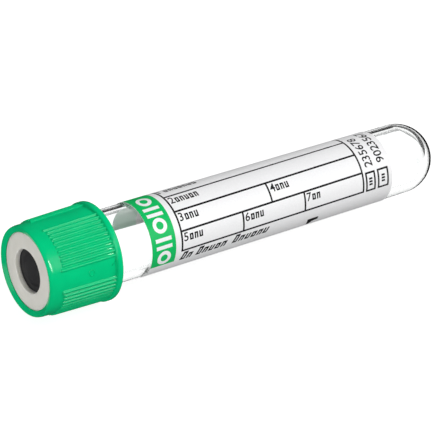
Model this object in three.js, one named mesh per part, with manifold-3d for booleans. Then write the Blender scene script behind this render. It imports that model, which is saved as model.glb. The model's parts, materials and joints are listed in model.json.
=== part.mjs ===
// Blood collection tube: a clear tapered tube with a round end, a rubber stopper in its mouth,
// a ridged screw cap over both, a loose ring in the cap's face and a wrapped paper label.
//
// Millimetres. Each piece is drawn around the tube's own axis, local +X, which runs from the
// cap's front rim (x = 0) to the round end. Angles are in degrees about +X, from +Z towards -Y.
// The finished assembly is then laid down on the cap's flange and the round end, +Z up.

import * as THREE from 'three';
import { mergeVertices } from 'three/addons/utils/BufferGeometryUtils.js';
import Module from 'manifold-3d';

const wasm = await Module();
wasm.setup();

// ---------------------------------------------------------------- driving dimensions

// Tube
const tubeLength = 75;
const tubeMouthRadius = 6.33;
const tubeDraft = 0.0032; // radius lost for each mm of length
const tubeWall = 0.95;
const tubeEndWall = 1.1; // at the tip of the round end
const tubeLipBevel = 0.2;

// Screw thread between the tube's neck and the cap's skirt
const threadLead = 12;
const threadStarts = 4;
const threadHeight = 0.42;
const threadCrestWidth = 0.55;
const threadFlankWidth = 0.25;
const threadClearance = 0.2; // from a rib's crest to the wall that it faces
const threadBelowMouth = 1.45; // from the mouth to the middle of a rib's first end
const tubeRibFacets = 13; // how far round a rib on the tube runs
const capRibFacets = 7; // how far round a rib in the cap runs

// Stopper
const headThickness = 4.65;
const headOverhang = 0.15; // beyond the tube's mouth radius
const headBevel = 0.15;
const headGrooveDepth = 0.5;
const headGrooveWidth = 1.4;
const headGrooveDistance = 1.75; // from the head's front face to the groove
const bossRadius = 4.6;
const bossBevel = 0.15;
const dishRadius = 2.9;
const dishDepth = 0.3;
const plugLength = 6.2;
const plugEndBevel = 0.45;
const plugWaistDepth = 0.13; // how far the plug is relieved between its sealing bands
const plugBandWidth = 1.1;
const plugClearance = 0.08; // from a sealing band to the tube's bore
const plugRecessMouthRadius = 3;
const plugRecessRadius = 2.3;
const stopperMembrane = 4.6; // rubber left between the front face and the plug's recess

// Clearances around the stopper
const stopperClearance = 0.25; // to the cap, all round
const mouthClearance = 0.3; // from the head to the tube's mouth

// Cap
const capWall = 1; // panel wall around the thread, at the rear
const capDraft = 0.25; // radius gained from the rim's taper to the flange
const capSkirtLength = 6.1; // how far the cap reaches over the tube
const rimTaperLength = 1; // over which the wall draws in towards the rim's crest
const rimTaper = 0.25; // how far it draws in
const rimRounding = 0.15; // on the crest's inner side
const rimWidth = 0.9; // wall around the ring's seat
const lipCover = 0.15; // how far the lip reaches over the ring's edge
const lipThickness = 0.1; // at the lip's edge; it thickens towards the crest
const shelfThickness = 0.8; // between the ring's seat and the stopper's chamber
const beadWidth = 0.7; // bead that holds the stopper by its groove
const skirtBevel = 0.3;
const flangeHeight = 0.5;
const flangeWidth = 1.15;
const flangeRounding = 0.3;

// Grip ridges, in four groups with smooth panels between them
const ridgeHeight = 0.29;
const ridgeRootWidth = 0.48;
const ridgeCrestWidth = 0.2;
const ridgeStart = 2.6; // behind the front rim
const ridgeRunUp = 0.15; // slope at a ridge's front end
const ridgeOutermostLead = 0.35; // a group's first and last ridges start this much nearer the rim
const ridgePitch = 5.625;
const ridgeFirstAngle = 11.9;
const ridgeGroups = [11, 13, 11, 13];
const panelPitches = 5; // pitches from a group's last ridge to the next group's first

// Ring in the cap's face
const ringHoleRadius = 3.75;
const ringThickness = 0.9;
const ringDepth = 0.45; // from the rim's crest to the ring's face
const ringStep = 0.15; // from the ring's face back to the edge that the lip holds
const ringBevel = 0.12;
const ringFaceClearance = 0.05; // the ring's flat face stays this far inside the cap's lip
const ringClearance = 0.06;
const ringSeatClearance = 0.1; // behind and in front of the ring

// Label
const labelBelowMouth = 13;
const labelLength = 50.1;
const labelThickness = 0.1;
const labelGap = 0.03; // between the tube and the paper
const labelFirstFacet = -18; // counted from the facet edge just past the top
const labelFacets = 45;

// ---------------------------------------------------------------- derived places

const facets = 64;
const facetAngle = 360 / facets;
const rootOverlap = 0.15; // how far a rib or ridge is sunk into the wall that carries it

const lipInnerFace = ringDepth + ringStep - ringSeatClearance;
const seatFloor = ringDepth + ringThickness + ringSeatClearance;
const chamberFront = seatFloor + shelfThickness;
const headFront = chamberFront + stopperClearance;
const headBack = headFront + headThickness;
const mouth = headBack + mouthClearance;
const plugEnd = headBack + plugLength;
const capLength = mouth + capSkirtLength;
const flangeStart = capLength - flangeWidth;
const stopperFront = seatFloor;

const headRadius = tubeMouthRadius + headOverhang;
const grooveRadius = headRadius - headGrooveDepth;
const beadRadius = grooveRadius + stopperClearance;
const chamberRadius = headRadius + stopperClearance;
const capBore = tubeMouthRadius + threadHeight + threadClearance;
const capRearRadius = capBore + capWall;
const capFrontRadius = capRearRadius - capDraft;
const flangeRadius = capRearRadius + flangeHeight;
const flangeFillet = flangeHeight - flangeRounding;
const seatRadius = capFrontRadius - rimWidth;
const ringRadius = seatRadius - ringClearance;
const lipRadius = ringRadius - lipCover;
const ringFaceRadius = lipRadius - ringFaceClearance;

// The round end is a half sphere as wide as the drafted wall that it closes.
const endRadius = (tubeMouthRadius - tubeDraft * tubeLength) / (1 - tubeDraft);
const endCentre = mouth + tubeLength - endRadius;

function tubeRadius(x) {
  return tubeMouthRadius - tubeDraft * (x - mouth);
}

function boreRadius(x) {
  return tubeRadius(x) - tubeWall;
}

function capRadius(x) {
  return capFrontRadius + capDraft * (x - rimTaperLength) / (flangeStart - rimTaperLength);
}

// ---------------------------------------------------------------- shape helpers

// Points of an elliptical arc. 0 degrees points along +X and 90 degrees away from the axis.
function arc(centreX, centreR, radiusX, radiusR, fromAngle, toAngle, steps) {
  const points = [];
  for (let step = 0; step <= steps; step += 1) {
    const angle = THREE.MathUtils.degToRad(fromAngle + (toAngle - fromAngle) * step / steps);
    points.push([centreX + radiusX * Math.cos(angle), centreR + radiusR * Math.sin(angle)]);
  }
  return points;
}

// A solid turned around the axis from an outline of [x, radius] points.
function turned(outline) {
  const points = outline.map(([x, radius]) => new THREE.Vector2(Math.max(radius, 0), x));
  const halfFacet = THREE.MathUtils.degToRad(facetAngle / 2);
  const geometry = new THREE.LatheGeometry(points, facets, halfFacet);
  geometry.rotateZ(-Math.PI / 2);
  return geometry;
}

// A block wrapped around the axis. place(along, out, around) takes three shares from 0 to 1 and
// gives the x, radius and angle of that corner.
function wrapped(stepsAround, place) {
  const geometry = new THREE.BoxGeometry(1, 1, 1, 1, 1, stepsAround);
  const position = geometry.attributes.position;
  for (let i = 0; i < position.count; i += 1) {
    const along = position.getX(i) + 0.5;
    const out = position.getY(i) + 0.5;
    const around = position.getZ(i) + 0.5;
    const { x, radius, angle } = place(along, out, around);
    const turn = THREE.MathUtils.degToRad(angle);
    position.setXYZ(i, x, -radius * Math.sin(turn), radius * Math.cos(turn));
  }
  return geometry;
}

function toManifold(geometry) {
  const bare = geometry.clone();
  bare.deleteAttribute('normal');
  bare.deleteAttribute('uv');
  const welded = mergeVertices(bare, 1e-5);
  const corners = welded.index.array;
  const triangles = [];
  for (let i = 0; i < corners.length; i += 3) {
    const [a, b, c] = corners.slice(i, i + 3);
    if (a !== b && b !== c && c !== a) {
      triangles.push(a, b, c);
    }
  }
  return new wasm.Manifold(new wasm.Mesh({
    numProp: 3,
    vertProperties: welded.attributes.position.array,
    triVerts: new Uint32Array(triangles),
  }));
}

function toGeometry(solid) {
  const mesh = solid.getMesh();
  const geometry = new THREE.BufferGeometry();
  geometry.setAttribute('position', new THREE.BufferAttribute(mesh.vertProperties, mesh.numProp));
  geometry.setIndex(new THREE.BufferAttribute(mesh.triVerts, 1));
  geometry.computeVertexNormals();
  return geometry;
}

function joined(base, additions) {
  const solid = additions.reduce((sum, piece) => sum.add(toManifold(piece)), toManifold(base));
  return toGeometry(solid);
}

// ---------------------------------------------------------------- thread

function ribWidth(shareToRoot) {
  return threadCrestWidth + 2 * threadFlankWidth * shareToRoot;
}

// One rib of the right-hand thread. It fades into the wall over its first and last steps.
function threadRib(start, offset, ribFacets, crestRadius, wallRadius) {
  const rootRadius = wallRadius + Math.sign(wallRadius - crestRadius) * rootOverlap;
  const crestIsInside = crestRadius < rootRadius;
  const firstAngle = start * 360 / threadStarts;
  return wrapped(ribFacets, (along, out, around) => {
    const shareToRoot = crestIsInside ? out : 1 - out;
    const step = Math.round(around * ribFacets);
    const atEnd = step === 0 || step === ribFacets;
    const topRadius = atEnd ? wallRadius : crestRadius;
    const angle = step * facetAngle;
    const middle = mouth + threadBelowMouth + offset + threadLead * angle / 360;
    return {
      x: middle + (along - 0.5) * ribWidth(shareToRoot),
      radius: shareToRoot > 0.5 ? rootRadius : topRadius,
      angle: firstAngle + facetAngle / 2 + angle,
    };
  });
}

function threadRibs(offset, ribFacets, crestRadius, wallRadius) {
  const ribs = [];
  for (let start = 0; start < threadStarts; start += 1) {
    ribs.push(threadRib(start, offset, ribFacets, crestRadius, wallRadius));
  }
  return ribs;
}

// ---------------------------------------------------------------- pieces

function tubeGeometry() {
  const outerEnd = arc(endCentre, 0, endRadius, endRadius, 90, 0, 12);
  const innerEndLength = endRadius - tubeEndWall;
  const innerEnd = arc(endCentre, 0, innerEndLength, boreRadius(endCentre), 0, 90, 12);
  const shell = turned([
    ...innerEnd,
    [mouth + tubeLipBevel, boreRadius(mouth)],
    [mouth, boreRadius(mouth) + tubeLipBevel],
    [mouth, tubeMouthRadius - tubeLipBevel],
    [mouth + tubeLipBevel, tubeRadius(mouth + tubeLipBevel)],
    ...outerEnd,
  ]);
  const wallRadius = tubeRadius(mouth + threadBelowMouth);
  const ribs = threadRibs(0, tubeRibFacets, tubeMouthRadius + threadHeight, wallRadius);
  return joined(shell, ribs);
}

function labelGeometry() {
  const start = mouth + labelBelowMouth;
  return wrapped(labelFacets, (along, out, around) => {
    const x = start + along * labelLength;
    return {
      x,
      radius: tubeRadius(x) + labelGap + out * labelThickness,
      angle: (labelFirstFacet + 0.5 + around * labelFacets) * facetAngle,
    };
  });
}

function stopperGeometry() {
  const bandRadius = boreRadius(plugEnd) - plugClearance;
  const waistRadius = bandRadius - plugWaistDepth;
  const grooveFront = headFront + headGrooveDistance;
  const grooveBack = grooveFront + headGrooveWidth;
  const bandStart = plugEnd - plugEndBevel - plugBandWidth;
  const recessTop = stopperFront + dishDepth + stopperMembrane;
  return turned([
    [stopperFront + dishDepth, 0],
    [stopperFront + dishDepth, dishRadius - dishDepth],
    [stopperFront, dishRadius],
    [stopperFront, bossRadius - bossBevel],
    [stopperFront + bossBevel, bossRadius],
    [headFront, bossRadius],
    [headFront, headRadius - headBevel],
    [headFront + headBevel, headRadius],
    [grooveFront, headRadius],
    [grooveFront, grooveRadius],
    [grooveBack, grooveRadius],
    [grooveBack, headRadius],
    [headBack - headBevel, headRadius],
    [headBack, headRadius - headBevel],
    [headBack, bandRadius],
    [headBack + plugBandWidth, bandRadius],
    [headBack + plugBandWidth + plugWaistDepth, waistRadius],
    [bandStart - plugWaistDepth, waistRadius],
    [bandStart, bandRadius],
    [plugEnd - plugEndBevel, bandRadius],
    [plugEnd, bandRadius - plugEndBevel],
    [plugEnd, plugRecessMouthRadius],
    [recessTop + plugRecessRadius / 2, plugRecessRadius],
    [recessTop, plugRecessRadius / 2],
    [recessTop, 0],
  ]);
}

function capOutline() {
  const beadFront = headFront + headGrooveDistance + (headGrooveWidth - beadWidth) / 2;
  const beadSlope = (chamberRadius - beadRadius) / 3;
  const threadZoneFront = mouth + threadBelowMouth - threadFlankWidth - threadCrestWidth;
  const rimCrest = capFrontRadius - rimTaper;
  const filletCentre = flangeStart - flangeFillet;
  const flangeCrest = flangeRadius - flangeRounding;
  const crestFront = flangeStart + flangeRounding;
  const crestBack = capLength - flangeRounding;
  return [
    [lipInnerFace, lipRadius],
    [lipInnerFace - lipThickness, lipRadius],
    ...arc(rimRounding, rimCrest, rimRounding, rimRounding, 205, 190, 1),
    ...arc(rimTaperLength, rimCrest, rimTaperLength, rimTaper, 180, 90, 6),
    [filletCentre, capRadius(filletCentre)],
    ...arc(filletCentre, flangeCrest, flangeFillet, flangeFillet, 300, 345, 2),
    ...arc(crestFront, flangeCrest, flangeRounding, flangeRounding, 165, 90, 3),
    ...arc(crestBack, flangeCrest, flangeRounding, flangeRounding, 90, 0, 4),
    [capLength, capBore + skirtBevel],
    [capLength - skirtBevel, capBore],
    [threadZoneFront, capBore],
    [threadZoneFront - threadClearance, chamberRadius],
    [beadFront + beadWidth + beadSlope, chamberRadius],
    [beadFront + beadWidth, beadRadius],
    [beadFront, beadRadius],
    [beadFront - beadSlope, chamberRadius],
    [chamberFront, chamberRadius],
    [chamberFront, bossRadius + stopperClearance],
    [seatFloor, bossRadius + stopperClearance],
    [seatFloor, seatRadius],
    [lipInnerFace, seatRadius],
    [lipInnerFace, lipRadius],
  ];
}

function ridge(angle, lead) {
  const start = ridgeStart - lead;
  const end = flangeStart;
  return wrapped(1, (along, out, around) => {
    const x = along > 0.5 ? end : start + out * ridgeRunUp;
    const wallRadius = capRadius(x);
    const width = out > 0.5 ? ridgeCrestWidth : ridgeRootWidth;
    const radius = out > 0.5 ? wallRadius + ridgeHeight : wallRadius - rootOverlap;
    const spread = THREE.MathUtils.radToDeg(width / wallRadius);
    return { x, radius, angle: angle + (around - 0.5) * spread };
  });
}

function ridges() {
  const all = [];
  let angle = ridgeFirstAngle;
  for (const count of ridgeGroups) {
    for (let i = 0; i < count; i += 1) {
      const outermost = i === 0 || i === count - 1;
      all.push(ridge(angle, outermost ? ridgeOutermostLead : 0));
      angle += ridgePitch;
    }
    angle += ridgePitch * (panelPitches - 1);
  }
  return all;
}

function capGeometry() {
  const shell = turned(capOutline());
  const halfTurn = threadLead / threadStarts / 2;
  const crestRadius = tubeMouthRadius + threadClearance;
  const ribs = threadRibs(halfTurn, capRibFacets, crestRadius, capBore);
  return joined(shell, [...ribs, ...ridges()]);
}

function ringGeometry() {
  const back = ringDepth + ringThickness;
  return turned([
    [ringDepth + ringBevel, ringHoleRadius],
    [ringDepth, ringHoleRadius + ringBevel],
    [ringDepth, ringFaceRadius],
    [ringDepth + ringStep, ringFaceRadius],
    [ringDepth + ringStep, ringRadius],
    [back, ringRadius],
    [back, ringHoleRadius],
    [ringDepth + ringBevel, ringHoleRadius],
  ]);
}

// ---------------------------------------------------------------- materials and assembly

const clearPlastic = new THREE.MeshStandardMaterial({
  color: 0xe9f1f3, roughness: 0.06, metalness: 0, transparent: true, opacity: 0.3,
});
const paper = new THREE.MeshStandardMaterial({ color: 0xf1f2f2, roughness: 0.55, metalness: 0 });
const blackRubber = new THREE.MeshStandardMaterial({ color: 0x29292b, roughness: 0.7, metalness: 0 });
const greenPlastic = new THREE.MeshStandardMaterial({ color: 0x00b870, roughness: 0.35, metalness: 0 });
const greyPlastic = new THREE.MeshStandardMaterial({ color: 0xbfbcb3, roughness: 0.5, metalness: 0 });

function piece(name, geometry, material) {
  const mesh = new THREE.Mesh(geometry, material);
  mesh.name = name;
  return mesh;
}

// The angle at which a straight floor touches both the flange's rear edge and the round end.
function restTilt() {
  const flangeEdge = capLength - flangeRounding;
  const distance = endCentre - flangeEdge;
  const slant = Math.hypot(distance, flangeRadius);
  return Math.acos(endRadius / slant) - Math.atan2(distance, flangeRadius);
}

const assembly = new THREE.Group();
assembly.add(piece('tube', tubeGeometry(), clearPlastic));
assembly.add(piece('label', labelGeometry(), paper));
assembly.add(piece('stopper', stopperGeometry(), blackRubber));
assembly.add(piece('screw_cap', capGeometry(), greenPlastic));
assembly.add(piece('cap_ring', ringGeometry(), greyPlastic));
assembly.rotation.y = restTilt();
assembly.updateMatrixWorld(true);

// The origin is under the middle of the part, on the surface that it lies on.
const extent = new THREE.Box3().setFromObject(assembly, true);
const middle = extent.getCenter(new THREE.Vector3());
assembly.position.set(-middle.x, -middle.y, -extent.min.z);

const bloodCollectionTube = new THREE.Group();
bloodCollectionTube.add(assembly);

export default bloodCollectionTube;
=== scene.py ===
# Looks of a blood collection tube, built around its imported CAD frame. Metres, +Z up.
import json
import math

import bpy
import numpy as np
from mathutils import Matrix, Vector
from mathutils.geometry import delaunay_2d_cdt


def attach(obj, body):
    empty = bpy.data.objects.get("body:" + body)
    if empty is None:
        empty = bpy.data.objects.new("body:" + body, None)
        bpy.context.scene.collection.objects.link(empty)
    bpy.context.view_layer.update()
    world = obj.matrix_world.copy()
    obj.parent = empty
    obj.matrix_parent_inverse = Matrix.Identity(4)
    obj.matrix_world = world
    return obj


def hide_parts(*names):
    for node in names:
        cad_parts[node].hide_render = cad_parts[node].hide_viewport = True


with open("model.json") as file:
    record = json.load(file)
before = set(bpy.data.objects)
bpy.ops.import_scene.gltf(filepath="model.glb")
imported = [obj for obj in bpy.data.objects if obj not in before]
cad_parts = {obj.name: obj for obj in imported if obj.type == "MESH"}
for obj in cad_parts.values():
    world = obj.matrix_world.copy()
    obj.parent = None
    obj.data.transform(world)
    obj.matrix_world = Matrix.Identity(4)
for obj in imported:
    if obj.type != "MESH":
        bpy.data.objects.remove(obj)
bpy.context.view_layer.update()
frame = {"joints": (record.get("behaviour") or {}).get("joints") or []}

MM = 0.001
NEGLIGIBLE = 1e-6

# ---------------------------------------------------------------- sizes, in millimetres
# x runs along the tube's axis from the cap's front rim, and r is the distance from that axis.
# Angles are degrees about the axis, from the top towards the camera's side.

FACET_ANGLE = 360 / 64  # between the CAD model's facets, which the ribs and the label keep to

TUBE_LENGTH = 75
TUBE_MOUTH_RADIUS = 6.33
TUBE_DRAFT = 0.0032
TUBE_WALL = 0.95
TUBE_END_WALL = 1.1
TUBE_LIP_ROUNDING = 0.2

THREAD_LEAD = 12
THREAD_STARTS = 4
THREAD_HEIGHT = 0.42
THREAD_CREST_WIDTH = 0.55
THREAD_FLANK_WIDTH = 0.25
THREAD_CLEARANCE = 0.2
THREAD_BELOW_MOUTH = 1.45
TUBE_THREAD_LENGTH = 3.2
TUBE_RIB_ANGLE = 73.1
CAP_RIB_ANGLE = 39.4
RIB_FADE_ANGLE = 5.6

HEAD_THICKNESS = 4.65
HEAD_OVERHANG = 0.15
HEAD_ROUNDING = 0.15
HEAD_GROOVE_DEPTH = 0.5
HEAD_GROOVE_WIDTH = 1.4
HEAD_GROOVE_DISTANCE = 1.75
BOSS_RADIUS = 4.6
BOSS_ROUNDING = 0.15
DISH_RADIUS = 2.9
DISH_DEPTH = 0.3
PLUG_LENGTH = 6.2
PLUG_END_ROUNDING = 0.45
PLUG_WAIST_DEPTH = 0.13
PLUG_BAND_WIDTH = 1.1
PLUG_CLEARANCE = 0.08
PLUG_RECESS_MOUTH_RADIUS = 3
PLUG_RECESS_RADIUS = 2.3
STOPPER_MEMBRANE = 4.6

STOPPER_CLEARANCE = 0.25
MOUTH_CLEARANCE = 0.3

CAP_WALL = 1
CAP_DRAFT = 0.25
CAP_SKIRT_LENGTH = 6.1
RIM_TAPER_LENGTH = 1
RIM_TAPER = 0.25
RIM_ROUNDING = 0.15
RIM_WIDTH = 0.9
LIP_COVER = 0.15
LIP_THICKNESS = 0.1
SHELF_THICKNESS = 0.8
BEAD_WIDTH = 0.7
SKIRT_BEVEL = 0.3
FLANGE_HEIGHT = 0.5
FLANGE_WIDTH = 1.15
FLANGE_ROUNDING = 0.3

RIDGE_HEIGHT = 0.29
RIDGE_WIDTH = 0.5
RIDGE_START = 2.6
RIDGE_RUN_UP = 0.25
RIDGE_OUTERMOST_LEAD = 0.35
RIDGE_PITCH = 5.625
RIDGE_FIRST_ANGLE = 11.9
RIDGE_GROUPS = (11, 13, 11, 13)
PANEL_PITCHES = 5

MARK_PLACE, MARK_ANGLE = 7.8, 81
MARK_RADIUS = 0.5
MARK_WIDTH = 0.22
MARK_HEIGHT = 0.1
TICK = ((11.6, 79.5), (12.4, 75))

RING_HOLE_RADIUS = 3.75
RING_THICKNESS = 0.9
RING_DEPTH = 0.45
RING_STEP = 0.15
RING_ROUNDING = 0.12
RING_CLEARANCE = 0.06
RING_FACE_CLEARANCE = 0.05
RING_SEAT_CLEARANCE = 0.1

LABEL_BELOW_MOUTH = 13
LABEL_LENGTH = 50.1
LABEL_THICKNESS = 0.1
LABEL_GAP = 0.03
LABEL_FIRST_ANGLE = -17.5 * FACET_ANGLE
LABEL_LAST_ANGLE = 27.5 * FACET_ANGLE

# How finely the meshes are cut: columns around the axis, corners, and steps along the axis
TUBE_COLUMNS = 256
CAP_COLUMNS = 768
STOPPER_COLUMNS = 160
RING_COLUMNS = 160
MARK_STEPS = 32
MARK_CORNERS = 12
DISC_CORNERS = 40
TUBE_WALL_STEP = 6
TUBE_THREAD_STEP = 0.14
CAP_THREAD_STEP = 0.16
CAP_FRONT_STEP = 0.6
CAP_WALL_STEP = 1.5
RIDGE_FRONT_STEP = 0.025
RIDGE_FRONT_MARGIN = 0.05
LABEL_STRIP_ANGLE = 2

# Edges that bend by more than this are sharp
CORNER_ANGLE = 32
LABEL_CORNER_ANGLE = 40

# A point this near to a wall counts as on it, and a ridge from this height on looks polished
SURFACE_MARGIN = 0.01
LEAST_GRIP_HEIGHT = 0.02

# ---------------------------------------------------------------- places worked out from them

LIP_INNER_FACE = RING_DEPTH + RING_STEP - RING_SEAT_CLEARANCE
SEAT_FLOOR = RING_DEPTH + RING_THICKNESS + RING_SEAT_CLEARANCE
CHAMBER_FRONT = SEAT_FLOOR + SHELF_THICKNESS
HEAD_FRONT = CHAMBER_FRONT + STOPPER_CLEARANCE
HEAD_BACK = HEAD_FRONT + HEAD_THICKNESS
MOUTH = HEAD_BACK + MOUTH_CLEARANCE
PLUG_END = HEAD_BACK + PLUG_LENGTH
CAP_LENGTH = MOUTH + CAP_SKIRT_LENGTH
FLANGE_START = CAP_LENGTH - FLANGE_WIDTH
LABEL_START = MOUTH + LABEL_BELOW_MOUTH

HEAD_RADIUS = TUBE_MOUTH_RADIUS + HEAD_OVERHANG
GROOVE_RADIUS = HEAD_RADIUS - HEAD_GROOVE_DEPTH
BEAD_RADIUS = GROOVE_RADIUS + STOPPER_CLEARANCE
CHAMBER_RADIUS = HEAD_RADIUS + STOPPER_CLEARANCE
CAP_BORE = TUBE_MOUTH_RADIUS + THREAD_HEIGHT + THREAD_CLEARANCE
CAP_REAR_RADIUS = CAP_BORE + CAP_WALL
CAP_FRONT_RADIUS = CAP_REAR_RADIUS - CAP_DRAFT
FLANGE_RADIUS = CAP_REAR_RADIUS + FLANGE_HEIGHT
FLANGE_FILLET = FLANGE_HEIGHT - FLANGE_ROUNDING
SEAT_RADIUS = CAP_FRONT_RADIUS - RIM_WIDTH
RING_RADIUS = SEAT_RADIUS - RING_CLEARANCE
LIP_RADIUS = RING_RADIUS - LIP_COVER

THREAD_FRONT = MOUTH + THREAD_BELOW_MOUTH - THREAD_FLANK_WIDTH - THREAD_CREST_WIDTH
BEAD_FRONT = HEAD_FRONT + HEAD_GROOVE_DISTANCE + (HEAD_GROOVE_WIDTH - BEAD_WIDTH) / 2
BEAD_SLOPE = (CHAMBER_RADIUS - BEAD_RADIUS) / 3
CAP_CREST_RADIUS = CAP_FRONT_RADIUS - RIM_TAPER

END_RADIUS = (TUBE_MOUTH_RADIUS - TUBE_DRAFT * TUBE_LENGTH) / (1 - TUBE_DRAFT)
END_CENTRE = MOUTH + TUBE_LENGTH - END_RADIUS

# The tube's own axes in the frame, read from the joint that the cap turns on.
TURN = next(joint for joint in frame["joints"] if joint["name"] == "cap_turn")
FRONT = Vector(TURN["pos_m"])
INWARD = -Vector(TURN["axis"]).normalized()
SIDEWAYS = Vector((0, 1, 0))
UPWARD = INWARD.cross(SIDEWAYS)


def tube_radius(x):
    return TUBE_MOUTH_RADIUS - TUBE_DRAFT * (x - MOUTH)


def bore_radius(x):
    return tube_radius(x) - TUBE_WALL


def cap_radius(x):
    return CAP_FRONT_RADIUS + CAP_DRAFT * (x - RIM_TAPER_LENGTH) / (FLANGE_START - RIM_TAPER_LENGTH)


# ---------------------------------------------------------------- mesh helpers


def wrapped(x, r, angle):
    """Points in the frame, in metres, from places on the tube's own axes."""
    x, r, angle = np.broadcast_arrays(x, r, np.radians(angle))
    along = x[..., None] * np.array(INWARD)
    across = -(r * np.sin(angle))[..., None] * np.array(SIDEWAYS)
    up = (r * np.cos(angle))[..., None] * np.array(UPWARD)
    return np.array(FRONT) + MM * (along + across + up)


def arc(centre_x, centre_r, radius_x, radius_r, from_angle, to_angle, steps):
    """Points of an elliptical arc. 0 degrees points along the axis and 90 away from it."""
    angles = np.radians(np.linspace(from_angle, to_angle, steps + 1))
    return [(centre_x + radius_x * math.cos(a), centre_r + radius_r * math.sin(a)) for a in angles]


def stretch(x_from, x_to, step, radius):
    """Points along a drafted wall, about one step apart and without its two ends."""
    count = max(1, round(abs(x_to - x_from) / step))
    return [(x, radius(x)) for x in np.linspace(x_from, x_to, count + 1)[1:-1]]


def smoothstep(value):
    share = np.clip(value, 0, 1)
    return share * share * (3 - 2 * share)


def new_object(name, points, faces, body, *materials):
    """A smooth mesh that moves with one of the frame's bodies."""
    mesh = bpy.data.meshes.new(name)
    mesh.from_pydata([tuple(p) for p in points], [], faces)
    for material in materials:
        mesh.materials.append(material)
    mesh.shade_smooth()
    piece = bpy.data.objects.new(name, mesh)
    bpy.context.scene.collection.objects.link(piece)
    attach(piece, body)
    return piece


def sharp_rings(outline, closed):
    """Which points of an outline are corners, where its direction turns by more than CORNER_ANGLE."""
    points = np.array(outline)
    steps = np.diff(np.vstack([points[-1:], points, points[:1]]), axis=0)
    heading = np.arctan2(steps[:, 1], steps[:, 0])
    turn = np.abs((np.diff(heading) + math.pi) % (2 * math.pi) - math.pi)
    corners = turn > math.radians(CORNER_ANGLE)
    if not closed:
        corners[0] = corners[-1] = False
    return corners


def turned(name, outline, columns, body, material, relief=None):
    """A closed solid turned around the axis. Its outline either closes on itself or starts and
    ends on the axis. relief(x, r, angle) gives what is added to the radius at each point."""
    poles = [i for i, (_, r) in enumerate(outline) if r < NEGLIGIBLE]
    rings = [point for i, point in enumerate(outline) if i not in poles]
    closed = not poles
    x = np.array([p[0] for p in rings])[:, None]
    r = np.array([p[1] for p in rings])[:, None]
    angle = (np.arange(columns) * 360 / columns)[None, :]
    grown = r + (relief(x, r, angle) if relief else 0)
    points = wrapped(x, grown, angle).reshape(-1, 3)
    faces = []
    last = len(rings) if closed else len(rings) - 1
    for i in range(last):
        here = i * columns
        after = (i + 1) % len(rings) * columns
        for j in range(columns):
            k = (j + 1) % columns
            faces.append((here + j, here + k, after + k, after + j))
    if poles:
        tips = [outline[i] for i in poles]
        points = np.vstack([points] + [wrapped(x_tip, 0.0, 0.0)[None] for x_tip, _ in tips])
        first_tip = len(rings) * columns
        end = (len(rings) - 1) * columns
        for j in range(columns):
            k = (j + 1) % columns
            faces.append((first_tip, k, j))
            faces.append((first_tip + 1, end + j, end + k))
    piece = new_object(name, points, faces, body, material)
    mark_sharp(piece.data, sharp_rings(rings, closed), columns)
    turn_outward(piece.data)
    return piece


def mark_sharp(mesh, corners, columns):
    """Marks the edges around the axis whose ring is a corner of the outline."""
    ends = np.zeros(len(mesh.edges) * 2, np.int32)
    mesh.edges.foreach_get("vertices", ends)
    rings = ends.reshape(-1, 2) // columns
    known = np.append(corners, [False, False])
    same = rings[:, 0] == rings[:, 1]
    sharp = same & known[np.minimum(rings[:, 0], len(corners))]
    flags = mesh.attributes.new("sharp_edge", "BOOLEAN", "EDGE")
    flags.data.foreach_set("value", sharp)


def turn_outward(mesh):
    """Flips the faces of a closed mesh if its volume is negative."""
    mesh.calc_loop_triangles()
    corners = np.array([v.co for v in mesh.vertices])
    triangles = np.zeros(len(mesh.loop_triangles) * 3, np.int32)
    mesh.loop_triangles.foreach_get("vertices", triangles)
    a, b, c = (corners[triangles.reshape(-1, 3)[:, i]] for i in range(3))
    if np.einsum("ij,ij->i", a, np.cross(b, c)).sum() < 0:
        mesh.flip_normals()


# ---------------------------------------------------------------- materials

# Noise, in features for each metre
MOULD_DRIFT = 260
MOULD_GRAIN = 2600
CLEAR_WAVES = 90
PAPER_FIBRES = 3800
FLOOR_DRIFT = 40

# Where a colour's drift starts and ends in the noise
DRIFT_FROM, DRIFT_TO = 0.3, 0.7

# Drift of a colour and of its roughness, as (least, most) shares of each
MOULD_SHADES, MOULD_GLOSS = (0.95, 1.05), (0.85, 1.15)
PAPER_SHADES, PAPER_GLOSS = (0.965, 1.02), (0.9, 1.1)

CLEAR_ROUGHNESS = 0.03
PAPER_ROUGHNESS = 0.45
BACK_ROUGHNESS = 0.8
PAPER_BUMP = 0.000004


def principled(name, colour, roughness, **sockets):
    """A new material and its nodes, with a plain Principled shader to add to."""
    material = bpy.data.materials.new(name)
    material.use_nodes = True
    nodes, links = material.node_tree.nodes, material.node_tree.links
    shader = nodes["Principled BSDF"]
    shader.inputs["Base Color"].default_value = (*colour, 1)
    shader.inputs["Roughness"].default_value = roughness
    for socket, value in sockets.items():
        shader.inputs[socket.replace("_", " ")].default_value = value
    return material, nodes, links, shader


def noise(nodes, links, scale, detail=3.0):
    """Noise in the object's own space. The scale is in features for each metre."""
    place = nodes.new("ShaderNodeTexCoord")
    texture = nodes.new("ShaderNodeTexNoise")
    texture.inputs["Scale"].default_value = scale
    texture.inputs["Detail"].default_value = detail
    links.new(place.outputs["Object"], texture.inputs["Vector"])
    return texture.outputs["Fac"]


def vary_colour(nodes, links, shader, factor, colour, shades):
    """The base colour drifts between two shares of a colour with a noise."""
    dark, light = (tuple(min(1, share * c) for c in colour) for share in shades)
    ramp = nodes.new("ShaderNodeValToRGB")
    ramp.color_ramp.elements[0].position = DRIFT_FROM
    ramp.color_ramp.elements[0].color = (*dark, 1)
    ramp.color_ramp.elements[1].position = DRIFT_TO
    ramp.color_ramp.elements[1].color = (*light, 1)
    links.new(factor, ramp.inputs["Fac"])
    links.new(ramp.outputs["Color"], shader.inputs["Base Color"])


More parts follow.
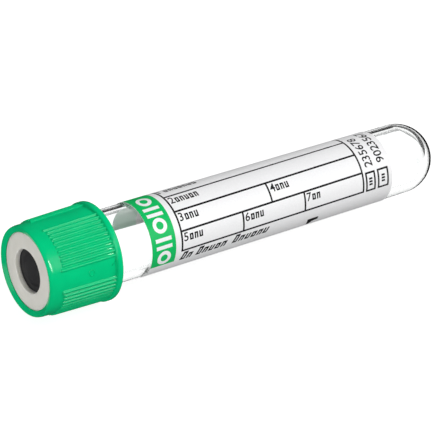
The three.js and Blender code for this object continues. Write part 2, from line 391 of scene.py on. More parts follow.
def vary_roughness(nodes, links, shader, factor, least, most):
    """The roughness drifts between two values with a noise."""
    spread = nodes.new("ShaderNodeMapRange")
    spread.inputs["To Min"].default_value = least
    spread.inputs["To Max"].default_value = most
    links.new(factor, spread.inputs["Value"])
    links.new(spread.outputs["Result"], shader.inputs["Roughness"])


def add_bump(nodes, links, shader, factor, height):
    """A bump whose height is in metres."""
    bump = nodes.new("ShaderNodeBump")
    bump.inputs["Strength"].default_value = 1.0
    bump.inputs["Distance"].default_value = height
    links.new(factor, bump.inputs["Height"])
    links.new(bump.outputs["Normal"], shader.inputs["Normal"])


def linear(red, green, blue):
    """A linear colour from sRGB values of 0 to 255."""
    def one(value):
        share = value / 255
        return share / 12.92 if share <= 0.04045 else ((share + 0.055) / 1.055) ** 2.4
    return (one(red), one(green), one(blue))


def moulded(name, colour, roughness, grain, **sockets):
    """Moulded plastic or rubber: faint drift in its colour, gloss and surface. The grain is the
    height of its bumps, in metres."""
    material, nodes, links, shader = principled(name, colour, roughness, **sockets)
    coarse = noise(nodes, links, MOULD_DRIFT)
    fine = noise(nodes, links, MOULD_GRAIN)
    vary_colour(nodes, links, shader, coarse, colour, MOULD_SHADES)
    vary_roughness(nodes, links, shader, fine, *(share * roughness for share in MOULD_GLOSS))
    add_bump(nodes, links, shader, fine, grain)
    return material


def clear_plastic():
    material, nodes, links, shader = principled(
        "clear_plastic", (0.985, 0.995, 0.992), 0.0, Transmission_Weight=1.0, IOR=1.57)
    wave = noise(nodes, links, CLEAR_WAVES, 1.0)
    vary_roughness(nodes, links, shader, wave, 0.0, CLEAR_ROUGHNESS)
    return material


def printed(name, colour, roughness=PAPER_ROUGHNESS, **sockets):
    """Ink or bare coating on the label's paper."""
    material, nodes, links, shader = principled(name, colour, roughness, **sockets)
    fibres = noise(nodes, links, PAPER_FIBRES, 4.0)
    vary_colour(nodes, links, shader, fibres, colour, PAPER_SHADES)
    vary_roughness(nodes, links, shader, fibres, *(share * roughness for share in PAPER_GLOSS))
    add_bump(nodes, links, shader, fibres, PAPER_BUMP)
    return material


# ---------------------------------------------------------------- turned pieces


def rib_relief(x, angle, offset, rib_angle):
    """The share of a thread rib's height at each point: 0 between the ribs and 1 on a crest."""
    spacing = 360 / THREAD_STARTS
    share = np.zeros(np.broadcast(x, angle).shape)
    for start in range(THREAD_STARTS):
        run = (angle - start * spacing - FACET_ANGLE / 2) % 360
        inside = run <= rib_angle
        middle = MOUTH + THREAD_BELOW_MOUTH + offset + THREAD_LEAD * run / 360
        flank = (THREAD_CREST_WIDTH / 2 + THREAD_FLANK_WIDTH - np.abs(x - middle)) / THREAD_FLANK_WIDTH
        fade = np.minimum(run, rib_angle - run) / RIB_FADE_ANGLE
        share = np.maximum(share, np.where(inside, smoothstep(flank) * smoothstep(fade), 0))
    return share


def tube_relief(x, r, angle):
    """The screw ribs on the neck's outside."""
    outside = r > bore_radius(x) + TUBE_WALL / 2
    near_mouth = x < MOUTH + CAP_SKIRT_LENGTH
    shown = outside & near_mouth & (x > MOUTH + TUBE_LIP_ROUNDING)
    crest = TUBE_MOUTH_RADIUS + THREAD_HEIGHT
    return np.where(shown, (crest - r) * rib_relief(x, angle, 0, TUBE_RIB_ANGLE), 0)


def make_tube(material):
    rounding = TUBE_LIP_ROUNDING
    thread_end = MOUTH + THREAD_BELOW_MOUTH + TUBE_THREAD_LENGTH
    inner_end = END_RADIUS - TUBE_END_WALL
    outline = [
        *arc(END_CENTRE, 0, inner_end, bore_radius(END_CENTRE), 0, 90, 24),
        *stretch(END_CENTRE, MOUTH + rounding, TUBE_WALL_STEP, bore_radius),
        *arc(MOUTH + rounding, bore_radius(MOUTH) + rounding, rounding, rounding, 270, 180, 4),
        *arc(MOUTH + rounding, tube_radius(MOUTH) - rounding, rounding, rounding, 180, 90, 4),
        *stretch(MOUTH + rounding, thread_end, TUBE_THREAD_STEP, tube_radius),
        *stretch(thread_end, END_CENTRE, TUBE_WALL_STEP, tube_radius),
        *arc(END_CENTRE, 0, END_RADIUS, END_RADIUS, 90, 0, 24),
    ]
    tube = turned("clear_tube", outline, TUBE_COLUMNS, "tube", material, tube_relief)
    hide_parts("tube")


def make_stopper(material):
    """Its outline runs from the dished face over the boss, the grooved head and the plug, and
    ends in the recess that the tube's side has."""
    band = bore_radius(PLUG_END) - PLUG_CLEARANCE
    waist = band - PLUG_WAIST_DEPTH
    groove_front = HEAD_FRONT + HEAD_GROOVE_DISTANCE
    groove_back = groove_front + HEAD_GROOVE_WIDTH
    band_start = PLUG_END - PLUG_END_ROUNDING - PLUG_BAND_WIDTH
    recess_top = SEAT_FLOOR + DISH_DEPTH + STOPPER_MEMBRANE
    boss = BOSS_ROUNDING
    head = HEAD_ROUNDING
    end = PLUG_END_ROUNDING
    outline = [
        (SEAT_FLOOR + DISH_DEPTH, 0),
        (SEAT_FLOOR + DISH_DEPTH, DISH_RADIUS - 2 * DISH_DEPTH),
        *arc(SEAT_FLOOR + DISH_DEPTH, DISH_RADIUS, DISH_DEPTH, DISH_DEPTH, 240, 180, 4),
        *arc(SEAT_FLOOR + boss, BOSS_RADIUS - boss, boss, boss, 180, 90, 3),
        (HEAD_FRONT, BOSS_RADIUS),
        *arc(HEAD_FRONT + head, HEAD_RADIUS - head, head, head, 180, 90, 3),
        (groove_front, HEAD_RADIUS),
        (groove_front, GROOVE_RADIUS),
        (groove_back, GROOVE_RADIUS),
        (groove_back, HEAD_RADIUS),
        *arc(HEAD_BACK - head, HEAD_RADIUS - head, head, head, 90, 0, 3),
        (HEAD_BACK, band),
        (HEAD_BACK + PLUG_BAND_WIDTH, band),
        (HEAD_BACK + PLUG_BAND_WIDTH + PLUG_WAIST_DEPTH, waist),
        (band_start - PLUG_WAIST_DEPTH, waist),
        (band_start, band),
        *arc(PLUG_END - end, band - end, end, end, 90, 0, 4),
        (PLUG_END, PLUG_RECESS_MOUTH_RADIUS),
        *arc(recess_top + PLUG_RECESS_RADIUS, 0, PLUG_RECESS_RADIUS, PLUG_RECESS_RADIUS, 90, 180, 8),
    ]
    stopper = turned("rubber_stopper", outline, STOPPER_COLUMNS, "stopper", material)
    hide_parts("stopper")


def make_ring(material):
    """A flat ring whose outer edge steps back under the cap's lip."""
    back = RING_DEPTH + RING_THICKNESS
    edge = RING_DEPTH + RING_STEP
    step_radius = LIP_RADIUS - RING_FACE_CLEARANCE
    rounding = RING_ROUNDING
    outline = [
        *arc(RING_DEPTH + rounding, RING_HOLE_RADIUS + rounding, rounding, rounding, 270, 180, 4),
        *arc(edge, step_radius - RING_STEP, RING_STEP, RING_STEP, 180, 100, 3),
        (edge, step_radius),
        (edge, RING_RADIUS),
        (back, RING_RADIUS),
        (back, RING_HOLE_RADIUS),
    ]
    ring = turned("face_ring", outline, RING_COLUMNS, "cap", material)
    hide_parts("cap_ring")


def ridge_places():
    """(angle, whether it is a group's first or last) for each grip ridge."""
    places = []
    angle = RIDGE_FIRST_ANGLE
    for count in RIDGE_GROUPS:
        for i in range(count):
            places.append((angle, i in (0, count - 1)))
            angle += RIDGE_PITCH
        angle += RIDGE_PITCH * (PANEL_PITCHES - 1)
    return places


def ridge_relief(x, angle):
    """Rounded ridges that rise over their first stretch and run into the flange."""
    height = np.zeros(np.broadcast(x, angle).shape)
    half_width = RIDGE_WIDTH / 2
    for place, outermost in ridge_places():
        around = np.radians((angle - place + 180) % 360 - 180) * cap_radius(x)
        start = RIDGE_START - (RIDGE_OUTERMOST_LEAD if outermost else 0)
        run_up = np.clip((x - start) / RIDGE_RUN_UP, 0, 1)
        rise = np.sqrt(1 - (1 - run_up) ** 2)
        crown = np.sqrt(np.clip(1 - (around / half_width) ** 2, 0, 1))
        height = np.maximum(height, RIDGE_HEIGHT * rise * crown)
    return height


def finish_ridges(cap, grip_material):
    """Gives the ridges a material of their own, and leaves the smooth walls as they are."""
    cap.data.materials.append(grip_material)
    corners = (np.array([v.co for v in cap.data.vertices]) - np.array(FRONT)) / MM
    along = corners @ np.array(INWARD)
    out = np.linalg.norm(corners - along[:, None] * np.array(INWARD), axis=1)
    behind_rim = (along > RIM_TAPER_LENGTH) & (along < FLANGE_START - FLANGE_FILLET)
    raised = behind_rim & (out > cap_radius(along) + LEAST_GRIP_HEIGHT)
    grip = [int(any(raised[i] for i in polygon.vertices)) for polygon in cap.data.polygons]
    cap.data.polygons.foreach_set("material_index", grip)


def cap_relief(x, r, angle):
    """The grip ridges on the outside and the screw ribs in the bore."""
    outside = (r > cap_radius(x) - SURFACE_MARGIN) & (x > RIM_TAPER_LENGTH) & (x <= FLANGE_START)
    outer = np.where(outside, np.maximum(cap_radius(x) + ridge_relief(x, angle) - r, 0), 0)
    inside = (r < CAP_BORE + SURFACE_MARGIN) & (x > THREAD_FRONT) & (x < CAP_LENGTH - SKIRT_BEVEL)
    between_tube_ribs = THREAD_LEAD / THREAD_STARTS / 2
    ribs = rib_relief(x, angle, between_tube_ribs, CAP_RIB_ANGLE)
    rib_crest = TUBE_MOUTH_RADIUS + THREAD_CLEARANCE
    return outer - np.where(inside, (r - rib_crest) * ribs, 0)


def cap_outside():
    """From the lip over the rim, the ridged wall and the flange."""
    rim = RIM_ROUNDING
    crest = CAP_CREST_RADIUS
    fillet = FLANGE_FILLET
    bend = FLANGE_ROUNDING
    flange_middle = FLANGE_RADIUS - bend
    ridge_front = RIDGE_START - RIDGE_OUTERMOST_LEAD
    ridge_full = RIDGE_START + RIDGE_RUN_UP
    fine_start, fine_end = ridge_front - RIDGE_FRONT_MARGIN, ridge_full + RIDGE_FRONT_MARGIN
    wall_end = FLANGE_START - fillet
    return [
        (LIP_INNER_FACE - LIP_THICKNESS, LIP_RADIUS),
        *arc(rim, crest, rim, rim, 205, 185, 3),
        *arc(RIM_TAPER_LENGTH, crest, RIM_TAPER_LENGTH, RIM_TAPER, 180, 90, 16),
        *stretch(RIM_TAPER_LENGTH, ridge_front, CAP_FRONT_STEP, cap_radius),
        *stretch(fine_start, fine_end, RIDGE_FRONT_STEP, cap_radius),
        *stretch(ridge_full, wall_end, CAP_WALL_STEP, cap_radius),
        (wall_end, cap_radius(wall_end)),
        *arc(wall_end, flange_middle, fillet, fillet, 280, 350, 6),
        *arc(FLANGE_START + bend, flange_middle, bend, bend, 170, 90, 6),
        *arc(CAP_LENGTH - bend, flange_middle, bend, bend, 90, 0, 6),
    ]


def cap_inside():
    """From the skirt through the bore, the stopper's chamber and the ring's seat to the lip."""
    boss_bore = BOSS_RADIUS + STOPPER_CLEARANCE
    return [
        (CAP_LENGTH, CAP_BORE + SKIRT_BEVEL),
        (CAP_LENGTH - SKIRT_BEVEL, CAP_BORE),
        *stretch(CAP_LENGTH - SKIRT_BEVEL, THREAD_FRONT, CAP_THREAD_STEP, lambda x: CAP_BORE),
        (THREAD_FRONT, CAP_BORE),
        (THREAD_FRONT - THREAD_CLEARANCE, CHAMBER_RADIUS),
        (BEAD_FRONT + BEAD_WIDTH + BEAD_SLOPE, CHAMBER_RADIUS),
        (BEAD_FRONT + BEAD_WIDTH, BEAD_RADIUS),
        (BEAD_FRONT, BEAD_RADIUS),
        (BEAD_FRONT - BEAD_SLOPE, CHAMBER_RADIUS),
        (CHAMBER_FRONT, CHAMBER_RADIUS),
        (CHAMBER_FRONT, boss_bore),
        (SEAT_FLOOR, boss_bore),
        (SEAT_FLOOR, SEAT_RADIUS),
        (LIP_INNER_FACE, SEAT_RADIUS),
        (LIP_INNER_FACE, LIP_RADIUS),
    ]


def make_cap(material, grip_material):
    outline = cap_outside() + cap_inside()
    cap = turned("ridged_cap", outline, CAP_COLUMNS, "cap", material, cap_relief)
    finish_ridges(cap, grip_material)
    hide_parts("screw_cap")


def raised_line(name, path, closed, material):
    """A moulded line on the cap's wall, along a path of (x, angle)."""
    sections = []
    for i, (x, angle) in enumerate(path):
        before, after = path[i - 1], path[(i + 1) % len(path)]
        if not closed:
            before, after = path[max(i - 1, 0)], path[min(i + 1, len(path) - 1)]
        scale = math.radians(1) * cap_radius(x)
        ahead = Vector((after[0] - before[0], (after[1] - before[1]) * scale)).normalized()
        turns = np.linspace(0, 2 * math.pi, MARK_CORNERS, endpoint=False)
        across = MARK_WIDTH / 2 * np.cos(turns)
        place = x - ahead.y * across
        height = cap_radius(place) + MARK_HEIGHT * np.sin(turns)
        sections.append(wrapped(place, height, angle + ahead.x * across / scale))
    count = len(sections)
    faces = []
    for i in range(count if closed else count - 1):
        here, following = i * MARK_CORNERS, (i + 1) % count * MARK_CORNERS
        for j in range(MARK_CORNERS):
            k = (j + 1) % MARK_CORNERS
            faces.append((here + j, here + k, following + k, following + j))
    if not closed:
        faces.append(tuple(reversed(range(MARK_CORNERS))))
        faces.append(tuple(range((count - 1) * MARK_CORNERS, count * MARK_CORNERS)))
    mark = new_object(name, np.vstack(sections), faces, "cap", material)
    turn_outward(mark.data)


def make_mould_marks(material):
    """A small ring and a short tick on one of the cap's smooth walls."""
    turns = np.linspace(0, 2 * math.pi, MARK_STEPS, endpoint=False)
    spread = math.degrees(MARK_RADIUS / cap_radius(MARK_PLACE))
    ring = [(MARK_PLACE + MARK_RADIUS * math.cos(t), MARK_ANGLE + spread * math.sin(t)) for t in turns]
    raised_line("mould_ring", ring, True, material)
    raised_line("mould_tick", TICK, False, material)


# ---------------------------------------------------------------- label
# The print is laid out flat, in millimetres: along runs with x from the cap's rim, and around
# runs with the angle, from the line that meets the top of the tube at the form's left edge.

PRINT_SKEW = -0.0154  # fall of the printed lines around the tube, for each mm along it
LINE_WIDTH = 0.34

GREEN_END = 25.15
GREEN_FIRST, GREEN_LAST = -11.2, 12.85
SIGN_MIDDLE = 22.85
SIGN_REACH = 1.55
SIGN_STROKE = 0.65
SIGN_PLACES = (11.2, 8.5, 5.45, 2.8, -0.05)

FORM_LEFT, FORM_RIGHT = 26.4, 64.25
FORM_TOP = 0.57
ROW_HEIGHT = 3.45
FIELD_SPLITS = ((1, 45.08), (2, 38.87), (2, 51.73))

# Field captions: (number, row, left line, letters after the number)
CAPTIONS = (
    ("1", -1, FORM_LEFT, 7),
    ("2", 0, FORM_LEFT, 5),
    ("3", 1, FORM_LEFT, 3),
    ("4", 1, FIELD_SPLITS[0][1], 3),
    ("5", 2, FORM_LEFT, 3),
    ("6", 2, FIELD_SPLITS[1][1], 3),
    ("7", 2, FIELD_SPLITS[2][1], 2),
)
CAPTION_HEIGHT = 1.5
CAPTION_INSET = 0.4
CAPTION_DROP = 0.35
CAPTION_FIRST_LETTER = 1.15
SMALL_LETTER_HEIGHT = 1.1

# Shapes that stand for letters: two uprights joined at the top, at the bottom or at both
LETTER_PITCH = 0.95
LETTER_SHARE = 0.76
STROKE_SHARE = 0.29

# Words of such shapes under the form, as (start, letters)
SLANTED_WORDS = ((26.2, 2), (29.4, 5), (36.8, 6))
SLANTED_PITCH = 1.25
SLANTED_BASELINE = 13.05
SLANTED_HEIGHT = 1.75
SLANTED_SMALL_HEIGHT = 1.25
SLANT = 0.4

# Columns of digits that read up the tube: (digits, baseline, lowest place)
DIGIT_COLUMNS = (("235678", 66.85, 6.8), ("9023567", 69.5, 6.6))
DIGIT_HEIGHT = 1.65
DIGIT_PITCH = 1.14
DIGIT_BOLDNESS = 0.012
DIGIT_FINENESS = 4

# Small frames with bars in them: (left, top, right, bottom)
FRAMES = ((64.97, 7.75, 66.75, 10.95), (67.55, 7.75, 69.6, 10.95))
FRAME_BAR_PITCH = 0.52
FRAME_BAR_WIDTH = 0.34
FRAME_BAR_REACH = 0.35
FILL_MARK = ((52.9, 13.4), (55.2, 13.35), (55.35, 14.2), (54.2, 14.4), (54, 15.5), (53.4, 15.4))

TRIANGLES_INSIDE = 1  # the output that delaunay_2d_cdt is asked for


def paper_radius(x):
    return tube_radius(x) + LABEL_GAP + LABEL_THICKNESS


def paper_angle(along, around):
    """The angle on the tube of a place in the print."""
    return math.degrees((around + PRINT_SKEW * (along - FORM_LEFT)) / paper_radius(along))


def box_outline(left, top, right, bottom):
    return [(left, top), (right, top), (right, bottom), (left, bottom)]


def disc_outline(along, around, radius):
    angles = np.linspace(0, 2 * math.pi, DISC_CORNERS, endpoint=False)
    return [(along + radius * math.cos(a), around + radius * math.sin(a)) for a in angles]


def digit_faces(digit):
    """Flat faces of a plain digit one unit tall, from the corner at its left and bottom."""
    curve = bpy.data.curves.new("digit", "FONT")
    curve.body = digit
    curve.resolution_u = DIGIT_FINENESS
    curve.offset = DIGIT_BOLDNESS
    holder = bpy.data.objects.new("digit", curve)
    mesh = holder.to_mesh()
    corners = np.array([v.co[:2] for v in mesh.vertices])
    low = corners.min(axis=0)
    corners = (corners - low) / (corners[:, 1].max() - low[1])
    faces = [corners[list(polygon.vertices)] for polygon in mesh.polygons if polygon.area > NEGLIGIBLE]
    holder.to_mesh_clear()
    bpy.data.objects.remove(holder)
    bpy.data.curves.remove(curve)
    return faces


class Print:
    """The shapes on the label, in the order that they are printed over each other."""

    def __init__(self):
        self.layers = []

    def add(self, outline, ink="black"):
        self.layers.append(([(along, paper_angle(along, around)) for along, around in outline], ink))

    def line(self, from_along, from_around, to_along, to_around):
        half = LINE_WIDTH / 2
        if abs(to_along - from_along) > abs(to_around - from_around):
            self.add([(from_along - half, from_around - half), (to_along + half, to_around - half),
                      (to_along + half, to_around + half), (from_along - half, from_around + half)])
        else:
            self.add([(from_along - half, from_around), (from_along + half, from_around),
                      (to_along + half, to_around), (to_along - half, to_around)])

    def frame(self, left, top, right, bottom):
        half = LINE_WIDTH / 2
        self.add(box_outline(left - half, top - half, right + half, bottom + half))
        self.add(box_outline(left + half, top + half, right - half, bottom - half), "paper")

    def digit(self, digit, left, baseline, height):
        for face in digit_faces(digit):
            self.add([(left + height * u, baseline - height * v) for u, v in face[::-1]])

    def upright_digit(self, digit, baseline, lowest, height):
        """A digit that reads up the tube."""
        for face in digit_faces(digit):
            self.add([(baseline - height * v, lowest - height * u) for u, v in face[::-1]])

    def letter(self, i, left, baseline, height, pitch, slant=0):
        """The shape at place i of a word that starts at left."""
        left += i * pitch
        right, top = left + LETTER_SHARE * pitch, baseline - height
        stroke = STROKE_SHARE * pitch
        boxes = [box_outline(left, top, left + stroke, baseline),
                 box_outline(right - stroke, top, right, baseline)]
        if i % 3 != 2:
            boxes.append(box_outline(left, top, right, top + stroke))
        if i % 3 != 1:
            boxes.append(box_outline(left, baseline - stroke, right, baseline))
        for box in boxes:
            self.add([(along + slant * (baseline - around), around) for along, around in box])


def form_row(index):
    return FORM_TOP + index * ROW_HEIGHT


def print_green_band(page):
    """A green band with white rings and pairs of bars on it by turns."""
    page.add(box_outline(LABEL_START, GREEN_FIRST, GREEN_END, GREEN_LAST), "green")
    left, right = SIGN_MIDDLE - SIGN_REACH, SIGN_MIDDLE + SIGN_REACH
    for i, place in enumerate(SIGN_PLACES):
        if i % 2:
            for side in (-1, 1):
                middle = place + side * SIGN_STROKE
                top, bottom = middle - SIGN_STROKE / 2, middle + SIGN_STROKE / 2
                page.add(box_outline(left, top, right, bottom), "paper")
        else:
            page.add(disc_outline(SIGN_MIDDLE, place, SIGN_REACH - SIGN_STROKE / 3), "paper")
            page.add(disc_outline(SIGN_MIDDLE, place, SIGN_REACH - 4 * SIGN_STROKE / 3), "green")


def print_form(page):
    """Four rows with seven fields, each headed by a digit and a few letter shapes."""
    for along in (FORM_LEFT, FORM_RIGHT):
        page.line(along, form_row(-1), along, form_row(3))
    for row in range(4):
        page.line(FORM_LEFT, form_row(row), FORM_RIGHT, form_row(row))
    for row, along in FIELD_SPLITS:
        page.line(along, form_row(row), along, form_row(row + 1))
    for number, row, line, count in CAPTIONS:
        left = line + CAPTION_INSET
        baseline = form_row(row) + CAPTION_DROP + CAPTION_HEIGHT
        page.digit(number, left, baseline, CAPTION_HEIGHT)
        for i in range(count):
            page.letter(i, left + CAPTION_FIRST_LETTER, baseline, SMALL_LETTER_HEIGHT, LETTER_PITCH)


def print_slanted_words(page):
    for start, count in SLANTED_WORDS:
        for i in range(count):
            height = SLANTED_SMALL_HEIGHT if i else SLANTED_HEIGHT
            page.letter(i, start, SLANTED_BASELINE, height, SLANTED_PITCH, SLANT)


def print_digit_columns(page):
    for digits, baseline, lowest in DIGIT_COLUMNS:
        for i, digit in enumerate(digits):
            page.upright_digit(digit, baseline, lowest - i * DIGIT_PITCH, DIGIT_HEIGHT)


def print_frames(page):
    for left, top, right, bottom in FRAMES:
        page.frame(left, top, right, bottom)
        middle = (left + right) / 2
        bar_left, bar_right = middle - FRAME_BAR_REACH, middle + FRAME_BAR_REACH
        for i in (-1, 0, 1):
            bar_top = (top + bottom - FRAME_BAR_WIDTH) / 2 + i * FRAME_BAR_PITCH
            page.add(box_outline(bar_left, bar_top, bar_right, bar_top + FRAME_BAR_WIDTH))


def make_print():
    page = Print()
    print_green_band(page)
    print_form(page)
    print_slanted_words(page)
    print_digit_columns(page)
    print_frames(page)
    page.add(FILL_MARK)
    return page.layers


def printed_sheet(layers):
    """The label cut flat into triangles: the x and the angle of its points, the triangles, and the
    ink of each. Where shapes lie over each other, the last one printed shows."""
    scale = math.radians(1) * paper_radius(LABEL_START)
    low, high = LABEL_FIRST_ANGLE * scale, LABEL_LAST_ANGLE * scale
    left, right = LABEL_START, LABEL_START + LABEL_LENGTH
    points, edges, faces, inks = [], [], [], []

    def add_face(outline, ink):
        first = len(points)
        points.extend(Vector(p) for p in outline)
        faces.append(list(range(first, len(points))))
        inks.append(ink)

    add_face([(left, low), (right, low), (right, high), (left, high)], "paper")
    for outline, ink in layers:
        add_face([(x, angle * scale) for x, angle in outline], ink)
    strips = round((LABEL_LAST_ANGLE - LABEL_FIRST_ANGLE) / LABEL_STRIP_ANGLE)
    for around in np.linspace(low, high, strips + 1)[1:-1]:
        first = len(points)
        points.extend([Vector((left, around)), Vector((right, around))])
        edges.append((first, first + 1))
    flat, _, made, _, _, origins = delaunay_2d_cdt(
        points, edges, faces, TRIANGLES_INSIDE, NEGLIGIBLE, True)
    chosen = [inks[max(origin)] if origin else "paper" for origin in origins]
    x = np.array([p[0] for p in flat])
    angle = np.array([p[1] for p in flat]) / scale
    return x, angle, made, chosen


def open_edges(faces):
    """The edges that only one face has, each in that face's direction."""
    found = {}
    for face in faces:
        for a, b in zip(face, face[1:] + face[:1]):
            if (b, a) in found:
                del found[(b, a)]
            else:
                found[(a, b)] = True
    return list(found)


def make_label(materials):
    """A sheet with the print on its outer face, closed along its edges."""
    x, angle, made, inks = printed_sheet(make_print())
    outer = wrapped(x, paper_radius(x), angle)
    inner = wrapped(x, paper_radius(x) - LABEL_THICKNESS, angle)
    count = len(x)
    faces = [tuple(f) for f in made]
    faces += [tuple(count + i for i in reversed(f)) for f in made]
    sides = open_edges(made)
    faces += [(b, a, count + a, count + b) for a, b in sides]
    names = list(materials)
    label = new_object("paper_label", np.vstack([outer, inner]), faces, "tube", *materials.values())
    # Behind the green band the label's back is painted pale green: painted light that stands in for light
    # coming through the green ink.
    backs = ["back_with_painted_green_light" if ink == "green" else "paper_back" for ink in inks]
    chosen = inks + backs + ["paper"] * len(sides)
    label.data.polygons.foreach_set("material_index", [names.index(ink) for ink in chosen])
    label.data.set_sharp_from_angle(angle=math.radians(LABEL_CORNER_ANGLE))
    turn_outward(label.data)
    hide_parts("label")


# ---------------------------------------------------------------- studio

CAMERA_AZIMUTH = -35.385
CAMERA_ELEVATION = 29.2953
CAMERA_DISTANCE = 0.445477
CAMERA_TARGET = Vector((-0.013083, -0.014776, 0.016221))
CAMERA_LENS = 226.515
CAMERA_SENSOR = 36

# Brightness of the white tent, as (elevation, brightness) where it isn't even
TENT_FOR_MATT = ((-90, 0.56), (-8, 0.56), (8, 0.46), (90, 0.46))
TENT_FOR_CLEAR = ((-90, 1), (-13, 1), (-10, 0.03), (7, 0.03), (10, 1), (90, 1))
TENT_FOR_GLOSS = 0.02
TENT_FOR_CAMERA = 1.05
CLEAR_GAIN = 1.25

SOFT_BOX_WATTS = 4  # for each square metre of a soft box, at a brightness of 1

# Soft boxes, one metre away: (name, direction from the object, width, height, brightness,
# whether it lights matt surfaces, whether it shows in shiny ones)
SOFT_BOXES = (
    ("key_box", (0.52, -0.52, 0.68), 0.4, 0.4, 10.5, True, False),
    ("fill_box", (-0.75, -0.65, 0.05), 0.5, 0.5, 1.2, True, False),
    ("ridge_box", (0.48, -0.7, 0.52), 0.5, 0.4, 1.1, False, True),
    ("glint_box", (0.28, -0.82, 0.47), 0.05, 0.5, 50.0, False, True),
    ("strip_box", (-0.86, -0.47, 0.19), 0.05, 0.6, 15.0, True, True),
    ("side_box", (-1.0, 0.1, 0.0), 0.5, 0.5, 1.2, False, True),
)
FLOOR_GLOW = 0.92
FLOOR_GREY = 0.25
FLOOR_SHADES = (0.96, 1.04)
FLOOR_ROUGHNESS = 0.6
FLOOR_RADIUS = 0.3
FLOOR_CORNERS = 96


def place_camera():
    """A long lens, from the tube's cap end and above."""
    data = bpy.data.cameras.new("camera")
    data.lens = CAMERA_LENS
    data.sensor_width = CAMERA_SENSOR
    data.clip_start, data.clip_end = 0.01, 10
    camera = bpy.data.objects.new("camera", data)
    bpy.context.scene.collection.objects.link(camera)
    azimuth, elevation = math.radians(CAMERA_AZIMUTH), math.radians(CAMERA_ELEVATION)
    back = Vector((math.sin(azimuth) * math.cos(elevation),
                   -math.cos(azimuth) * math.cos(elevation),
                   math.sin(elevation)))
    camera.location = CAMERA_TARGET + back * CAMERA_DISTANCE
    camera.rotation_mode = "QUATERNION"
    camera.rotation_quaternion = (-back).to_track_quat("-Z", "Y")
    bpy.context.scene.camera = camera


def soft_box(name, direction, width, height, brightness, lights_matt, shows):
    """An area light that faces the object. Its power grows with its area, so that it is equally
    bright at any size."""
    data = bpy.data.lights.new(name, "AREA")
    data.shape = "RECTANGLE"
    data.size, data.size_y = width, height
    data.energy = SOFT_BOX_WATTS * width * height * brightness
    box = bpy.data.objects.new(name, data)
    bpy.context.scene.collection.objects.link(box)
    away = Vector(direction).normalized()
    box.location = away
    box.rotation_mode = "QUATERNION"
    box.rotation_quaternion = (-away).to_track_quat("-Z", "Y")
    box.visible_camera = False
    box.visible_transmission = False
    box.visible_diffuse = lights_matt
    box.visible_glossy = shows


def make_floor():
    """A table that glows almost white, so that the object's shadow on it stays faint."""
    colour = (FLOOR_GREY, FLOOR_GREY, FLOOR_GREY)
    material, nodes, links, shader = principled("floor_white", colour, FLOOR_ROUGHNESS)
    vary_colour(nodes, links, shader, noise(nodes, links, FLOOR_DRIFT), colour, FLOOR_SHADES)
    shader.inputs["Emission Color"].default_value = (1, 1, 1, 1)
    shader.inputs["Emission Strength"].default_value = FLOOR_GLOW
    angles = np.linspace(0, 2 * math.pi, FLOOR_CORNERS, endpoint=False)
    points = [(FLOOR_RADIUS * math.cos(a), FLOOR_RADIUS * math.sin(a), 0) for a in angles]
    mesh = bpy.data.meshes.new("floor")
    mesh.from_pydata(points, [], [tuple(range(FLOOR_CORNERS))])
    mesh.materials.append(material)
    floor = bpy.data.objects.new("floor", mesh)
    bpy.context.scene.collection.objects.link(floor)
    floor.visible_diffuse = False
    floor.visible_glossy = False
    floor.visible_transmission = False
    floor.visible_shadow = False


def light_world():
    """A white tent, which shows a dark band near the horizon through clear plastic. Matt and glossy
    surfaces get less of it than clear ones do, because the soft boxes light them."""
    world = bpy.data.worlds.new("studio")
    world.use_nodes = True
    bpy.context.scene.world = world
    nodes, links = world.node_tree.nodes, world.node_tree.links
    nodes.clear()
    place = nodes.new("ShaderNodeTexCoord")
    split = nodes.new("ShaderNodeSeparateXYZ")
    links.new(place.outputs["Generated"], split.inputs["Vector"])
    share = nodes.new("ShaderNodeMapRange")
    share.inputs["From Min"].default_value = -1
    links.new(split.outputs["Z"], share.inputs["Value"])
    height = share.outputs["Result"]
    paths = nodes.new("ShaderNodeLightPath")
    shader = add_background(nodes, links, height, TENT_FOR_MATT, 1.0)
    for ray, stops, strength in (
            ("Is Glossy Ray", None, TENT_FOR_GLOSS),
            ("Is Transmission Ray", TENT_FOR_CLEAR, CLEAR_GAIN),
            ("Is Camera Ray", None, TENT_FOR_CAMERA)):
        seen = add_background(nodes, links, height, stops, strength)
        mix = nodes.new("ShaderNodeMixShader")
        links.new(paths.outputs[ray], mix.inputs["Fac"])
        links.new(shader.outputs[0], mix.inputs[1])
        links.new(seen.outputs[0], mix.inputs[2])
        shader = mix
    out = nodes.new("ShaderNodeOutputWorld")
    links.new(shader.outputs[0], out.inputs["Surface"])


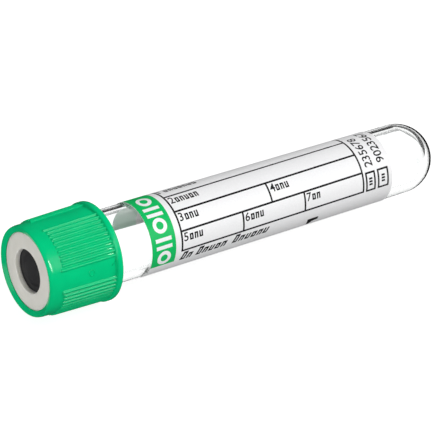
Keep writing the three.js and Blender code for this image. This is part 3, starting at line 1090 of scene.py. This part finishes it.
def add_background(nodes, links, height, stops, strength):
    """White light of one strength, or of a strength that changes with the elevation."""
    background = nodes.new("ShaderNodeBackground")
    background.inputs["Color"].default_value = (1, 1, 1, 1)
    background.inputs["Strength"].default_value = strength
    if stops:
        ramp = nodes.new("ShaderNodeValToRGB")
        set_stops(ramp.color_ramp, stops)
        links.new(height, ramp.inputs["Fac"])
        links.new(ramp.outputs["Color"], background.inputs["Color"])
    return background


def set_stops(ramp, stops):
    """The ramp's stops, from (elevation in degrees, grey)."""
    while len(ramp.elements) < len(stops):
        ramp.elements.new(0.5)
    for element, (elevation, grey) in zip(ramp.elements, stops):
        element.position = (math.sin(math.radians(elevation)) + 1) / 2
        element.color = (grey, grey, grey, 1)


# ---------------------------------------------------------------- the object's pieces and their looks

LIGHT_THROUGH_PAPER = {
    "Subsurface_Weight": 1.0,
    "Subsurface_Radius": (1, 1, 1),
    "Subsurface_Scale": 0.0004,
}
LIGHT_IN_RING = {
    "Subsurface_Weight": 1.0,
    "Subsurface_Radius": (1, 1, 1),
    "Subsurface_Scale": 0.0007,
}
GREEN = linear(0, 194, 124)

place_camera()
light_world()
for box in SOFT_BOXES:
    soft_box(*box)
make_floor()
make_tube(clear_plastic())
make_stopper(moulded("black_rubber", linear(41, 41, 43), 0.6, 0.000006))
make_ring(moulded("grey_plastic", linear(228, 226, 218), 0.5, 0.000003, **LIGHT_IN_RING))
green_plastic = moulded("green_plastic", GREEN, 0.14, 0.000002, Specular_IOR_Level=0.25)
make_cap(green_plastic, moulded("green_grip", GREEN, 0.2, 0.000002, Specular_IOR_Level=0.36))
make_mould_marks(green_plastic)
make_label({
    "paper": printed("label_paper", linear(236, 236, 237)),
    "green": printed("label_green", linear(0, 186, 95), Specular_IOR_Level=0.2),
    "black": printed("label_black", linear(24, 22, 23), Specular_IOR_Level=0.2),
    "paper_back": printed("label_back", linear(236, 236, 232), BACK_ROUGHNESS, **LIGHT_THROUGH_PAPER),
    # Painted light: the back behind the green band is painted pale green for light that comes through the
    # green ink.
    "back_with_painted_green_light": printed("label_back_painted_green_light", linear(190, 232, 205), BACK_ROUGHNESS, **LIGHT_THROUGH_PAPER),
})

bpy.context.scene.view_settings.view_transform = "Standard"
bpy.context.scene.cycles.use_denoising = True
